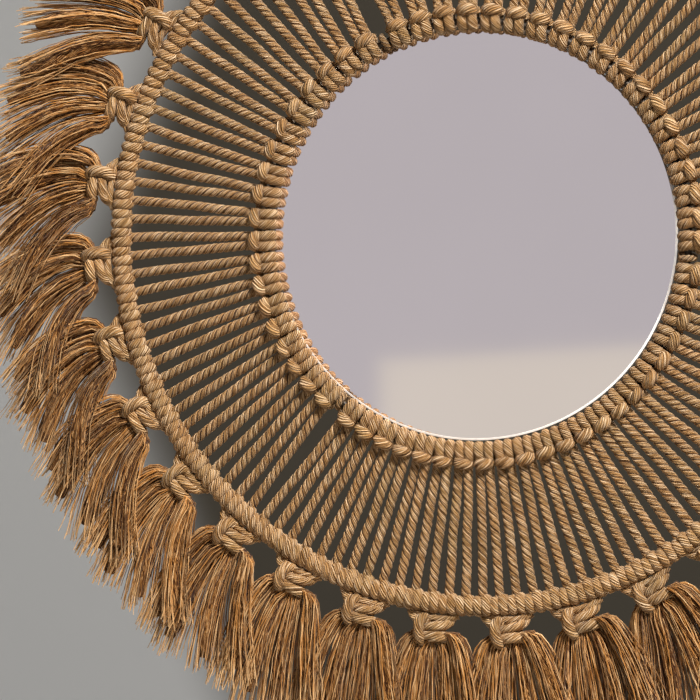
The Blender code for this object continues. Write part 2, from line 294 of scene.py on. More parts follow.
def close_tree(tree, given, path, ring, run):
    """End a tree in a closed skin round its curves, as real geometry with its material."""
    thick = add(tree, "GeometryNodeInputNamedAttribute", ["thickness"], data_type="FLOAT")
    path = add(tree, "GeometryNodeSetCurveRadius", {"Curve": path, "Radius": thick})
    path = add(tree, "GeometryNodeStoreNamedAttribute",
               {"Geometry": path, "Name": "run", "Value": run}, data_type="FLOAT",
               domain="POINT")
    skin = add(tree, "GeometryNodeCurveToMesh",
               {"Curve": path, "Profile Curve": ring, "Scale": thick, "Fill Caps": True})
    smooth = add(tree, "GeometryNodeSetShadeSmooth", [skin])
    real = add(tree, "GeometryNodeRealizeInstances", [smooth])
    painted = add(tree, "GeometryNodeSetMaterial",
                  {"Geometry": real, "Material": given["Material"]})
    add(tree, "NodeGroupOutput", [painted])
    return tree


def laid_cord_tree():
    """Skin chains of edges as cord laid left-handed from several plies."""
    tree, given = new_tree("Laid cord", ["Corners", "Plies", "Groove", "Lay", "Step"])
    path = add(tree, "GeometryNodeSetCurveNormal", [even_path(tree, given)],
               mode="MINIMUM_TWIST")
    run = add(tree, "GeometryNodeSplineParameter").outputs["Length"]
    turns = add(tree, "ShaderNodeMath", [run, given["Lay"]], operation="DIVIDE")
    start = add(tree, "GeometryNodeInputNamedAttribute", ["shade"], data_type="FLOAT")
    tilt = add_row(tree, "ShaderNodeMath", start, ("SUBTRACT", turns),
                   ("MULTIPLY", 2 * math.pi))
    path = add(tree, "GeometryNodeSetCurveTilt", {"Curve": path, "Tilt": tilt})
    ring = add(tree, "GeometryNodeCurvePrimitiveCircle",
               {"Resolution": given["Corners"], "Radius": 1.0}, mode="RADIUS")
    # The ring dips between the plies, and carries its height as the crest
    corner = add(tree, "GeometryNodeInputIndex")
    dip = add_row(tree, "ShaderNodeMath", corner, ("DIVIDE", given["Corners"]),
                  ("MULTIPLY", given["Plies"]), ("MULTIPLY", math.pi), ("COSINE",),
                  ("ABSOLUTE",), ("POWER", 0.5), ("MULTIPLY_ADD", -1.0, 1.0),
                  ("MULTIPLY", given["Groove"]))
    reach = add(tree, "ShaderNodeMath", [1.0, dip], operation="SUBTRACT")
    place = add(tree, "GeometryNodeInputPosition")
    dipped = add(tree, "ShaderNodeVectorMath", {0: place, "Scale": reach}, operation="SCALE")
    ring = add(tree, "GeometryNodeSetPosition", {"Geometry": ring, "Position": dipped})
    height = add(tree, "ShaderNodeMath", [dip, -4.0, 1.0], operation="MULTIPLY_ADD")
    for name, kind, value in (("lobe", "FLOAT_VECTOR", place), ("crest", "FLOAT", height)):
        ring = add(tree, "GeometryNodeStoreNamedAttribute",
                   {"Geometry": ring, "Name": name, "Value": value}, data_type=kind,
                   domain="POINT")
    return close_tree(tree, given, path, ring, run)


def loose_yarn_tree():
    """Skin chains of edges as thin crimped yarns, each a little off its neighbours."""
    tree, given = new_tree("Loose yarns", ["Corners", "Crimp", "Wave", "Step", "Seed"])
    path = even_path(tree, given)
    gone = add(tree, "GeometryNodeSplineParameter").outputs
    waves = add(tree, "ShaderNodeMath", [gone["Length"], given["Wave"]], operation="DIVIDE")
    shade = add(tree, "GeometryNodeInputNamedAttribute", ["shade"], data_type="FLOAT")
    # Neighbours lie so far apart in the noise that their waves differ
    own = add(tree, "ShaderNodeMath", [shade, 97.0], operation="MULTIPLY")
    spot = add(tree, "ShaderNodeCombineXYZ", [waves, own, given["Seed"]])
    crimp = add(tree, "ShaderNodeTexNoise", {"Vector": spot, "Scale": 1.0},
                noise_dimensions="3D").outputs["Color"]
    centred = add(tree, "ShaderNodeVectorMath", [crimp, (0.5, 0.5, 0.5)],
                  operation="SUBTRACT")
    # The crimp grows from nothing at the knot over the first sixth of a yarn
    growing = add(tree, "ShaderNodeMath", [gone["Factor"], 6.0], operation="MULTIPLY",
                  use_clamp=True)
    reach = add(tree, "ShaderNodeMath", [growing, given["Crimp"]], operation="MULTIPLY")
    offset = add(tree, "ShaderNodeVectorMath", {0: centred, "Scale": reach},
                 operation="SCALE")
    path = add(tree, "GeometryNodeSetPosition", {"Geometry": path, "Offset": offset})
    path = add(tree, "GeometryNodeSetCurveNormal", [path], mode="MINIMUM_TWIST")
    ring = add(tree, "GeometryNodeCurvePrimitiveCircle",
               {"Resolution": given["Corners"], "Radius": 1.0}, mode="RADIUS")
    return close_tree(tree, given, path, ring, gone["Length"])


# From paths to finished pieces


def strand_mesh(name, strands):
    """Chains of edges that carry a thickness and a shade at every point."""
    points, edges, thickness, shades = [], [], [], []
    for path, radii, shade in strands:
        first = len(points)
        edges += [(first + step, first + step + 1) for step in range(len(path) - 1)]
        points += path
        thickness += radii
        shades += [shade] * len(path)
    mesh = bpy.data.meshes.new(name)
    mesh.from_pydata(points, edges, [])
    for label, values in (("thickness", thickness), ("shade", shades)):
        attribute = mesh.attributes.new(label, "FLOAT", "POINT")
        attribute.data.foreach_set("value", values)
    return mesh


def grow(name, strands, tree, sizes, material):
    """Run a tree on strands and keep the result as a plain mesh object."""
    thing = bpy.data.objects.new(name, strand_mesh(name, strands))
    bpy.context.scene.collection.objects.link(thing)
    modifier = thing.modifiers.new(tree.name, "NODES")
    modifier.node_group = tree
    given = dict(sizes, Material=material)
    for socket in tree.interface.items_tree:
        if socket.in_out == "INPUT" and socket.name in given:
            modifier[socket.identifier] = given[socket.name]
    graph = bpy.context.evaluated_depsgraph_get()
    grown = bpy.data.meshes.new_from_object(
        thing.evaluated_get(graph), preserve_all_data_layers=True, depsgraph=graph)
    thing.modifiers.clear()
    thing.data = grown
    grown.name = name
    return thing


def finish_piece(thing, nodes):
    """Fix a piece to the frame in place of the plain solids."""
    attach(thing, "root")
    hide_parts(*nodes)


def grow_cord(name, strands, material, sizes, plies=3, groove=None, lay=None, corners=12,
              step=None):
    """Skin strands as laid cord."""
    given = {
        "Corners": corners, "Plies": plies, "Step": step or sizes.step,
        "Groove": groove or sizes.groove, "Lay": lay or sizes.lay,
    }
    return grow(name, strands, laid_cord_tree(), given, material)


def lay_cord(context, name, route, nodes=CORD_NODES, **how):
    """Lay one kind of cord along its route, in place of its plain solids."""
    sizes = context.scene.mirror_cords
    material = cord_material(context.scene.mirror_colours)
    finish_piece(grow_cord(name, route(sizes), material, sizes, **how), nodes)


def add_bands(bm, rings, slots, closed=False):
    """Smooth bands of faces from each ring of points to the next, in their slots."""
    rows = [[bm.verts.new(point) for point in ring] for ring in rings]
    followers = rows[1:] + (rows[:1] if closed else [])
    for row, follower, slot in zip(rows, followers, slots):
        for step, corner in enumerate(row):
            after = (step + 1) % len(row)
            face = bm.faces.new((corner, row[after], follower[after], follower[step]))
            face.material_index = slot
            face.smooth = True
    return rows


def finish_shell(bm, name, node, materials):
    """Turn a closed shell into a piece in place of its plain solid."""
    bmesh.ops.recalc_face_normals(bm, faces=bm.faces)
    mesh = bpy.data.meshes.new(name)
    bm.to_mesh(mesh)
    bm.free()
    for material in materials:
        mesh.materials.append(material)
    thing = bpy.data.objects.new(name, mesh)
    bpy.context.scene.collection.objects.link(thing)
    finish_piece(thing, [node])


def even_turns(count):
    """Angles of a number of even places round a circle."""
    return [2 * math.pi * step / count for step in range(count)]


# Materials

# The mix node's sockets for the share and for the two colours
SHARE, UNDER, OVER = 0, 6, 7


def new_material(name, roughness, metallic=0.0, **settings):
    """A material and its shader, with constants on the shader's own sockets."""
    material = bpy.data.materials.new(name)
    material.use_nodes = True
    tree = material.node_tree
    shader = tree.nodes["Principled BSDF"]
    settings.update(Roughness=roughness, Metallic=metallic)
    feed(tree, shader, {label.replace("_", " "): value for label, value in settings.items()})
    return material, tree, shader


def rgba(colour, scale=1.0):
    """A colour with full cover, darkened by a scale."""
    return (*[scale * channel for channel in colour], 1.0)


def lay_coats(tree, tint, *coats):
    """Lay colours over a tint. A coat has a source, the values of the source between which
    its cover changes, the cover at each of them, and its colour."""
    for source, span, cover, colour, *soft in coats:
        share = add(tree, "ShaderNodeMapRange", [source, *span, *cover],
                    interpolation_type="SMOOTHSTEP" if soft else "LINEAR")
        tint = add(tree, "ShaderNodeMix", {SHARE: share, UNDER: tint, OVER: colour},
                   data_type="RGBA")
    return tint


def cord_material(colours):
    """Cotton cord laid from three soft plies, made once: matt, with pale fibrous crests on
    the plies and painted shade in the grooves between the plies and between the yarns."""
    name = "Laid cotton cord"
    if name in bpy.data.materials:
        return bpy.data.materials[name]
    material, tree, shader = new_material(
        name, 0.92, Sheen_Weight=0.06, Sheen_Roughness=0.5, Specular_IOR_Level=0.15)
    light, dark = rgba(colours.cotton_light), rgba(colours.cotton_dark_fibres_and_groove_shade)
    shade, run, lobe, crest = [
        add(tree, "ShaderNodeAttribute", attribute_name=label).outputs
        for label in ("shade", "run", "lobe", "crest")]
    # Fibres about 0.4 mm apart and 5 mm long, which follow the plies
    length = add(tree, "ShaderNodeMath", [run["Fac"], 210.0], operation="MULTIPLY")
    own = add(tree, "ShaderNodeMath", [shade["Fac"], 53.0, length], operation="MULTIPLY_ADD")
    lifted = add(tree, "ShaderNodeCombineXYZ", {"Z": own})
    spot = add(tree, "ShaderNodeVectorMath", [lobe["Vector"], (4.8, 4.8, 4.8), lifted],
               operation="MULTIPLY_ADD")
    fibre = add(tree, "ShaderNodeTexNoise",
                {"Vector": spot, "Scale": 1.0, "Detail": 3.0, "Roughness": 0.6})
    # Patches of greener dye, about 15 mm across
    place = add(tree, "ShaderNodeTexCoord").outputs["Object"]
    patch = add(tree, "ShaderNodeTexNoise", {"Vector": place, "Scale": 65.0, "Detail": 2.0})
    # Painted shade in the grooves between the plies, broken up by the fibres
    groove_shade_mask = add_row(tree, "ShaderNodeMath", fibre, ("ADD", crest["Fac"]),
                          ("SUBTRACT", 0.5))
    # Twelve yarn ridges round a cord run with the plies
    parts = add(tree, "ShaderNodeSeparateXYZ", [lobe["Vector"]]).outputs
    ridges = add_row(tree, "ShaderNodeMath", parts["Y"], ("ARCTAN2", parts["X"]),
                     ("MULTIPLY", 12.0), ("COSINE",))
    # The last two coats are painted shade in the ply grooves and in the troughs between the
    # yarns
    tint = lay_coats(
        tree, rgba(colours.cotton),
        (patch, (0.45, 0.7), (0.0, 0.6), rgba(colours.cotton_olive)),
        (fibre, (0.5, 0.64), (0.0, 0.8), light),
        (fibre, (0.34, 0.5), (0.8, 0.0), dark),
        (groove_shade_mask, (0.05, 0.7), (0.9, 0.0), dark, "soft"),
        (ridges, (-1.0, -0.1), (0.45, 0.0), dark))
    own_tone = add(tree, "ShaderNodeMapRange", [shade["Fac"], 0.0, 1.0, 0.86, 1.14])
    toned = add(tree, "ShaderNodeVectorMath", {0: tint, "Scale": own_tone},
                operation="SCALE")
    relief = add(tree, "ShaderNodeMath", [ridges, 0.35, fibre], operation="MULTIPLY_ADD")
    bump = add(tree, "ShaderNodeBump",
               {"Height": relief, "Strength": 1.0, "Distance": 0.0007})
    feed(tree, shader, {"Base Color": toned, "Normal": bump})
    return material


def fringe_material(colours):
    """Cotton cord combed out into single yarns: matt and fine, each yarn with its own tone,
    lit lengths and a worn, paler tip."""
    material, tree, shader = new_material(
        "Frayed cotton yarn", 0.9, Sheen_Weight=0.06, Sheen_Roughness=0.5,
        Specular_IOR_Level=0.2)
    light, dark = rgba(colours.fringe_light), rgba(colours.fringe_dark_yarns_and_gap_shade)
    shade, run = [add(tree, "ShaderNodeAttribute", attribute_name=label).outputs["Fac"]
                  for label in ("shade", "run")]
    # Light and dark lengths of about 8 mm along each yarn
    own = add(tree, "ShaderNodeMath", [shade, 71.0], operation="MULTIPLY")
    length = add(tree, "ShaderNodeMath", [run, 120.0], operation="MULTIPLY")
    spot = add(tree, "ShaderNodeCombineXYZ", [own, length])
    slub = add(tree, "ShaderNodeTexNoise", {"Vector": spot, "Scale": 1.0, "Detail": 3.0})
    tone = add_row(tree, "ShaderNodeMath", shade, ("MULTIPLY", 7.0), ("FRACT",))
    # The last coat is the tip's, from 40 mm below the knot
    # The middle coat darkens yarns at random towards the gap colour, a painted shade among them
    tint = lay_coats(
        tree, rgba(colours.fringe),
        (slub, (0.42, 0.68), (0.0, 0.8), light),
        (tone, (0.2, 0.95), (0.0, 0.92), dark),
        (run, (0.040, 0.064), (0.0, 0.4), light))
    feed(tree, shader, {"Base Color": tint})
    return material


def bundle_material(colours):
    """Cotton yarns packed side by side in a tassel's middle: matt, with fine wavy streaks
    over painted shade in the gaps between them."""
    material, tree, shader = new_material(
        "Bundled cotton yarn", 0.92, Sheen_Weight=0.06, Sheen_Roughness=0.5,
        Specular_IOR_Level=0.15)
    shade, run, lobe = [
        add(tree, "ShaderNodeAttribute", attribute_name=label).outputs
        for label in ("shade", "run", "lobe")]
    # The yarns sway sideways every 5 mm or so
    own = add(tree, "ShaderNodeMath", [shade["Fac"], 53.0], operation="MULTIPLY")
    swaying = add(tree, "ShaderNodeMath", [run["Fac"], 200.0], operation="MULTIPLY")
    beat = add(tree, "ShaderNodeCombineXYZ", [own, swaying])
    sway = add(tree, "ShaderNodeTexNoise",
               {"Vector": beat, "Scale": 1.0, "Detail": 0.0}).outputs["Color"]
    centred = add(tree, "ShaderNodeVectorMath", [sway, (0.5, 0.5, 0.5)],
                  operation="SUBTRACT")
    swayed = add(tree, "ShaderNodeVectorMath", [centred, (0.4, 0.4, 0.0), lobe["Vector"]],
                 operation="MULTIPLY_ADD")
    # Some eighty yarns round a bundle, 0.4 mm apart, with tones that change over 20 mm
    length = add(tree, "ShaderNodeMath", [run["Fac"], 50.0, own], operation="MULTIPLY_ADD")
    lifted = add(tree, "ShaderNodeCombineXYZ", {"Z": length})
    spot = add(tree, "ShaderNodeVectorMath", [swayed, (12.0, 12.0, 12.0), lifted],
               operation="MULTIPLY_ADD")
    yarns = add(tree, "ShaderNodeTexNoise",
                {"Vector": spot, "Scale": 1.0, "Detail": 2.0, "Roughness": 0.5})
    # The base is the painted shade in the gaps, under the streaks
    tint = lay_coats(
        tree, rgba(colours.fringe_dark_yarns_and_gap_shade),
        (yarns, (0.45, 0.61), (0.0, 1.0), rgba(colours.fringe)),
        (yarns, (0.56, 0.70), (0.0, 0.5), rgba(colours.fringe_light)))
    bump = add(tree, "ShaderNodeBump", {"Height": yarns, "Strength": 1.0, "Distance": 0.0009})
    feed(tree, shader, {"Base Color": tint, "Normal": bump})
    return material


def grained_material(name, colour, roughness, metallic, grain, relief, stretch=(1, 1, 1),
                     fade=0.72):
    """A rigid finish with a grain of a real size in its colour, gloss and surface."""
    material, tree, shader = new_material(name, roughness, metallic)
    place = add(tree, "ShaderNodeTexCoord").outputs["Object"]
    pulled = add(tree, "ShaderNodeMapping", {"Vector": place, "Scale": stretch})
    noise = add(tree, "ShaderNodeTexNoise",
                {"Vector": pulled, "Scale": 1 / grain, "Detail": 4.0})
    tint = lay_coats(tree, rgba(colour, fade), (noise, (0.3, 0.7), (0.0, 1.0), rgba(colour)))
    gloss = add(tree, "ShaderNodeMapRange",
                [noise, 0.0, 1.0, roughness * 0.8, min(1.0, roughness * 1.2)])
    bump = add(tree, "ShaderNodeBump", {"Height": noise, "Strength": 0.4, "Distance": relief})
    feed(tree, shader, {"Base Color": tint, "Roughness": gloss, "Normal": bump})
    return material


def edge_material(colour, glow, heading, fade):
    """Ground and polished glass with a painted glint: the bevel glows as a clear bright line on
    the side that the heading points to, with fine chips of 3 mm and less, and is painted dull
    elsewhere."""
    material, tree, shader = new_material("Polished glass edge", 0.15)
    place = add(tree, "ShaderNodeTexCoord").outputs["Object"]
    towards = add(tree, "ShaderNodeVectorMath", [place, heading], operation="DOT_PRODUCT")
    # Painted glint: bright on one side of the bevel, painted dull on the rest
    painted_glint_share = add(tree, "ShaderNodeMapRange", [towards, 0.0, fade, 0.0, 1.0],
                  interpolation_type="SMOOTHSTEP")
    strength = add(tree, "ShaderNodeMath", [painted_glint_share, glow], operation="MULTIPLY")
    chips = add(tree, "ShaderNodeTexNoise", {"Vector": place, "Scale": 350.0, "Detail": 2.0})
    tint = lay_coats(tree, rgba(colour, 0.8), (chips, (0.3, 0.6), (0.0, 1.0), rgba(colour)))
    base = add(tree, "ShaderNodeMix",
               {SHARE: painted_glint_share, UNDER: rgba(colour, 0.15), OVER: tint}, data_type="RGBA")
    feed(tree, shader,
         {"Base Color": base, "Emission Color": tint, "Emission Strength": strength})
    return material


def paper_material(dark, pale, edge, blur):
    """Matt backdrop paper with a painted shadow of the frame: dark behind the mirror, paler to
    the left of it, above and below.
    """
    material, tree, shader = new_material("Backdrop paper", 0.9)
    place = add(tree, "ShaderNodeTexCoord").outputs["Object"]
    parts = add(tree, "ShaderNodeSeparateXYZ", [place]).outputs
    # Painted shadow: dark near the mirror, paler beyond an edge to its left
    left = add_row(tree, "ShaderNodeMath", parts["Z"], ("ADD", 0.08), ("ABSOLUTE",),
                   ("MULTIPLY", 0.42), ("SUBTRACT", parts["X"]))
    tint = lay_coats(tree, rgba(dark),
                     (left, (edge - blur, edge + blur), (0.0, 1.0), rgba(pale), "soft"))
    feed(tree, shader, {"Base Color": tint})
    return material


def panel_material(upper, lower, level, slope, side):
    """A softly glowing panel, lighter at its low far corner, for the mirror to show."""
    material, tree, shader = new_material(
        "Pale side panel", 0.9, Emission_Strength=1.0, Base_Color=(0.02, 0.02, 0.02, 1.0))
    place = add(tree, "ShaderNodeTexCoord").outputs["Object"]
    parts = add(tree, "ShaderNodeSeparateXYZ", [place]).outputs
    height = add(tree, "ShaderNodeMath", [parts["Y"], -slope, parts["Z"]],
                 operation="MULTIPLY_ADD")
    ramps = [
        add(tree, "ShaderNodeMapRange", [source, middle - blur, middle + blur, 0.0, 1.0],
            interpolation_type="SMOOTHSTEP")
        for source, middle, blur in ((height, level, 0.012), (parts["Y"], side, 0.07))]
    share = add(tree, "ShaderNodeMath", ramps, operation="MAXIMUM")
    glow = add(tree, "ShaderNodeMix", {SHARE: share, UNDER: rgba(lower), OVER: rgba(upper)},
               data_type="RGBA")
    feed(tree, shader, {"Emission Color": glow})
    return material


# Paths of the cords


# From the middle of a head to each of its loops, and to a spoke where it comes out of the
# head and where it parts from its neighbour
LOOP_OFFSET = 0.00212
SPOKE_OFFSET = 0.00208
PARTED_OFFSET = 0.00214


def head_point(angle, sideways, out, front):
    """Point near a place on the inner hoop: round the ring, outwards and to the front."""
    return on_frame(angle, INNER_HOOP_RADIUS + out, front) + along(angle) * sideways


def loop_strands(sizes):
    """The two loops of every head: under the fold, over the hoop's front and round its back."""
    dice = random.Random(11)
    strands = []
    core = sizes.ring - sizes.loop
    for index in range(HEAD_COUNT):
        angle = head_angle(index)
        for side in (-1, 1):
            offset = side * LOOP_OFFSET
            slant = dice.uniform(0.0, 0.0005)
            path = [
                head_point(angle, offset, 0.0090, 0.0001),
                head_point(angle, offset, 0.0060, 0.0002),
                head_point(angle, offset * 0.9 + slant, 0.0026, 0.0016),
                head_point(angle, offset + slant, 0.0004, core),
                head_point(angle, offset, -core * 0.85, core * 0.72),
                head_point(angle, offset, -core - 0.0005, 0.0),
                head_point(angle, offset, -core * 0.7, -core * 0.7),
                head_point(angle, offset, 0.0006, -core),
                # Its end parts from its twin and hides in the fold
                head_point(angle, offset * 1.35, 0.0034, -0.0016),
                head_point(angle, offset * 1.75, 0.0046, 0.0004),
            ]
            radii = [sizes.spoke, sizes.spoke] + [sizes.loop * dice.uniform(0.97, 1.05)] * 6
            radii += [sizes.loop * 0.9, sizes.loop * 0.85]
            # The loops take the darkest quarter of the tones, a painted shade
            strands.append((path, radii, 0.25 * dice.random()))
    return strands


def fold_strands(sizes):
    """The short puffed fold across each head, with its ends tucked in behind it."""
    dice = random.Random(23)
    strands = []
    for index in range(HEAD_COUNT):
        angle = head_angle(index) + dice.uniform(-0.002, 0.002)
        swell = dice.uniform(0.94, 1.06)
        lean = dice.uniform(-0.0004, 0.0004)
        path = [
            head_point(angle, -0.0019, 0.0036 - lean, -0.0012),
            head_point(angle, -0.0025, 0.0042 - lean, 0.0008),
            head_point(angle, -0.0020, 0.0047 - lean, 0.0027),
            head_point(angle, -0.0008, 0.0049, 0.0036),
            head_point(angle, 0.0008, 0.0049, 0.0036),
            head_point(angle, 0.0020, 0.0047 + lean, 0.0027),
            head_point(angle, 0.0025, 0.0042 + lean, 0.0008),
            head_point(angle, 0.0019, 0.0036 + lean, -0.0012),
        ]
        shape = [0.55, 0.76, 0.96, 1.0, 1.0, 0.96, 0.76, 0.55]
        radii = [sizes.bar * swell * share for share in shape]
        strands.append((path, radii, dice.random()))
    return strands


def spoke_strands(sizes):
    """The stretched spokes, two from each head, fanning out to even places."""
    dice = random.Random(31)
    strands = []
    for index in range(TASSEL_COUNT):
        for number in range(SPOKES_PER_TASSEL):
            head = head_angle(HEADS_PER_TASSEL * index + number // 2)
            side = 2 * (number % 2) - 1
            outer = tassel_angle(index, (number + 0.5) / SPOKES_PER_TASSEL - 0.5)
            start = head_point(head, side * SPOKE_OFFSET, 0.0060, 0.0002)
            near = head_point(head, side * PARTED_OFFSET, 0.0105, 0.0001)
            end = on_frame(outer, OUTER_HOOP_RADIUS - 0.0020, -0.0014)
            last = on_frame(outer, OUTER_HOOP_RADIUS - 0.0058, -0.0004)
            across = along(outer)
            path = [start, near]
            for share in (0.25, 0.5, 0.75):
                wander = dice.uniform(-1, 1) * 0.0004 * math.sin(math.pi * share)
                rise = dice.uniform(-1, 1) * 0.0004
                path.append(near.lerp(last, share) + across * wander + FRONT * rise)
            path += [last, end]
            radii = [sizes.spoke * dice.uniform(0.97, 1.05) for _ in path]
            # The spokes take the lighter half of the tones, a painted light
            strands.append((path, radii, 0.5 + 0.5 * dice.random()))
    return strands


def hitch_strands(sizes):
    """Two wraps for every spoke round the outer hoop, as one long coil."""
    dice = random.Random(41)
    corners, straightness = 10, 0.95
    uneven, fullest = (-0.00010, 0.00018), 0.0008
    path, radii = [], []
    core = sizes.ring - sizes.hitch
    swell = 0.0
    for step in range(HITCH_COUNT * corners):
        wrap, corner = divmod(step, corners)
        if corner == 0:
            swell = dice.uniform(*uneven)
        turn = 2 * math.pi * corner / corners
        # The coil moves on behind the hoop, and lies almost straight across its front
        onward = (step + straightness * corners / (2 * math.pi) * math.sin(turn)) / corners
        angle = tassel_angle(0, onward / HITCH_COUNT * TASSEL_COUNT - 0.5)
        # The second wrap of each pair bulges on the hoop's inner edge, beside its spoke
        bulge = fullest * max(0.0, math.sin(turn)) ** 2 if wrap % 2 else 0.0
        reach = core + swell + bulge
        path.append(on_frame(angle, OUTER_HOOP_RADIUS - math.sin(turn) * reach,
                             -math.cos(turn) * reach))
        radii.append(sizes.hitch * (1.06 if bulge > 0.0003 else 1.0))
    path.append(path[0].copy())
    radii.append(radii[0])
    return [(path, radii, 0.37)]


# The runs of cord in a square knot: thickness as a share, and the route in millimetres
# round the ring, outwards from the outer hoop and to the front
KNOT_RUNS = (
    # Worker from the left, which runs in behind the bump
    (0.88, ((-12.4, 1.5, -1.8), (-11.2, 4.6, -0.8), (-9.0, 7.0, 0.4), (-6.4, 8.8, 1.0),
            (-3.5, 9.6, 0.0))),
    # Worker from the right, which crosses the front as the upper bar
    (0.90, ((6.9, 2.4, -2.6), (6.5, 5.0, -1.6), (5.5, 7.2, 0.6), (3.5, 8.3, 2.8),
            (0.7, 8.8, 3.9), (-2.4, 9.5, 3.4), (-4.6, 10.3, 1.4))),
    # The bump at the left side
    (1.08, ((-4.4, 6.2, 0.6), (-5.8, 6.4, 2.6), (-6.6, 8.0, 4.2), (-6.7, 10.6, 4.7),
            (-6.3, 13.2, 4.3), (-5.4, 15.4, 2.8), (-4.2, 16.2, 0.6))),
    # The lower bar
    (1.04, ((-4.6, 12.8, 1.2), (-2.8, 13.1, 3.2), (0.2, 13.2, 4.2), (3.0, 13.2, 3.8),
            (5.4, 13.4, 1.8), (5.8, 13.8, -0.6))),
    # Two fillers straight through the middle
    (0.92, ((-5.0, 1.5, -2.0), (-4.0, 5.4, -0.4), (-2.6, 9.5, 0.4), (-1.9, 14.5, 0.8),
            (-2.1, 17.6, 0.6))),
    (0.92, ((4.6, 1.5, -2.0), (4.0, 5.4, -0.4), (2.6, 9.5, 0.4), (1.9, 14.5, 0.8),
            (2.1, 17.6, 0.6))),
    # A turn of cord half hidden between the hoop and the knot
    (0.80, ((-9.4, 3.6, -0.6), (-5.0, 5.4, 0.8), (0.0, 5.9, 1.2), (4.8, 5.4, 0.8),
            (9.0, 3.6, -0.6))),
)


def knot_point(angle, sideways, out, front):
    """Point near a tassel's knot: round the ring, outwards from the hoop and to the front."""
    return on_frame(angle, OUTER_HOOP_RADIUS + out, front) + along(angle) * sideways


def knot_strands(sizes):
    """Square knots: two workers cross in front of two fillers, with a bump at one side."""
    dice = random.Random(53)
    strands = []
    for index in range(TASSEL_COUNT):
        angle = tassel_angle(index)
        shift = dice.uniform(-0.0006, 0.0006)
        drop = dice.uniform(-0.0008, 0.0008)

        for share, points in KNOT_RUNS:
            path = millimetres(angle, points, shift, drop)
            radii = [sizes.knot * share * dice.uniform(0.97, 1.04) for _ in path]
            strands.append((path, radii, dice.random()))
    return strands


def millimetres(angle, points, shift=0.0, drop=0.0):
    """A route by a knot, from points round the ring, outwards and to the front in mm."""
    return [knot_point(angle, 0.001 * x + shift, 0.001 * r + drop, 0.001 * d)
            for x, r, d in points]


def lock_dice(sizes, index, number):
    """Chance for one cord end, the same for its middle and for its yarns."""
    return random.Random(sizes.seed * 10000 + index * 10 + number)


def lock_flow(index, lock, sizes, dice):
    """Middle line of one frayed cord end, as places and headings from the knot to the tip."""
    angle = tassel_angle(index)
    side, exits = lock
    heading = tip_heading(angle, sizes.droop) + side * sizes.fan + dice.uniform(-0.07, 0.07)
    # At the mirror's sides the lower cord ends hang more steeply than the rest
    lower = -math.copysign(1, angle)
    heading += lower * max(0.0, side * lower) * sizes.side_fan * math.sin(angle) ** 2
    flow = [(place, angle) for place in millimetres(angle, exits)]
    place = flow[-1][0]
    leaving = angle + side * 0.4
    steps = 6
    for step in range(1, steps + 1):
        share = step / steps
        now = leaving + (heading - leaving) * (1 - (1 - share) ** 2)
        place = place + outward(now) * sizes.length / steps
        flow.append((place, now))
    return flow


# Radius of a cord end where its yarns part
LOCK_START = 0.0017

# The four cord ends of a knot: how far to the side each falls, and its way out of the
# knot in millimetres round the ring, outwards from the outer hoop and to the front
LOCKS = (
    (-1.0, ((-4.6, 11.4, -0.2), (-7.8, 13.2, -0.2), (-10.6, 16.4, 0.2))),
    (-0.3, ((-1.6, 14.0, 0.6), (-2.6, 17.0, 0.7), (-3.8, 19.8, 0.6))),
    (0.35, ((1.6, 14.0, 0.6), (2.4, 17.0, 1.0), (3.4, 19.8, 1.2))),
    (1.0, ((4.4, 12.2, 1.8), (7.4, 11.6, 3.2), (9.8, 13.8, 3.6), (11.2, 17.2, 3.0))),
)


def lock_reach(share, sizes):
    """Radius of a frayed cord end, which opens towards its tip."""
    return LOCK_START + (sizes.lock - LOCK_START) * math.sqrt(max(0.0, share))


def lock_strands(sizes):
    """The dense middle of every frayed cord end, a little shorter than its yarns."""
    strands = []
    for index in range(TASSEL_COUNT):
        for number, lock in enumerate(LOCKS):
            dice = lock_dice(sizes, index, number)
            flow = lock_flow(index, lock, sizes, dice)
            path, radii = [], []
            for step, (place, _) in enumerate(flow[:-1]):
                path.append(place)
                radii.append(0.66 * lock_reach(step / (len(flow) - 1), sizes))
            radii[-2] *= 0.9
            radii[-1] *= 0.5
            strands.append((path, radii, dice.random()))
    return strands


def yarn_strands(sizes, first, last):
    """Frayed yarns of some tassels: they leave the knot in four locks and open to the tips."""
    strands = []
    for index in range(first, last):
        for number, lock in enumerate(LOCKS):
            dice = lock_dice(sizes, index, number)
            flow = lock_flow(index, lock, sizes, dice)
            trim = dice.uniform(0.94, 1.0)
            for yarn in range(sizes.yarns // len(LOCKS)):
                turn = dice.uniform(0, 2 * math.pi)
                deep = math.sqrt(dice.uniform(0.45, 1.15))
                stray = max(0.6, dice.gauss(1.0, 0.17))
                twist = dice.uniform(-1.1, 1.1)
                cut = trim * dice.uniform(0.95, 1.03)
                path = []
                for step, (place, heading) in enumerate(flow):
                    share = step / (len(flow) - 1)
                    if step == len(flow) - 1:
                        before = flow[step - 1][0]
                        place = before.lerp(place, 1 + (cut - 1) * (len(flow) - 1))
                    reach = lock_reach(share, sizes) * deep * (1 + (stray - 1) * share)
                    now = turn + twist * share
                    across = along(heading) * math.cos(now) * reach
                    front = FRONT * math.sin(now) * reach * sizes.flatness
                    path.append(place + across + front)
                thick = sizes.yarn * dice.uniform(0.8, 1.2)
                radii = [thick] * (len(path) - 1) + [thick * 0.8]
                strands.append((path, radii, dice.random()))
    return strands


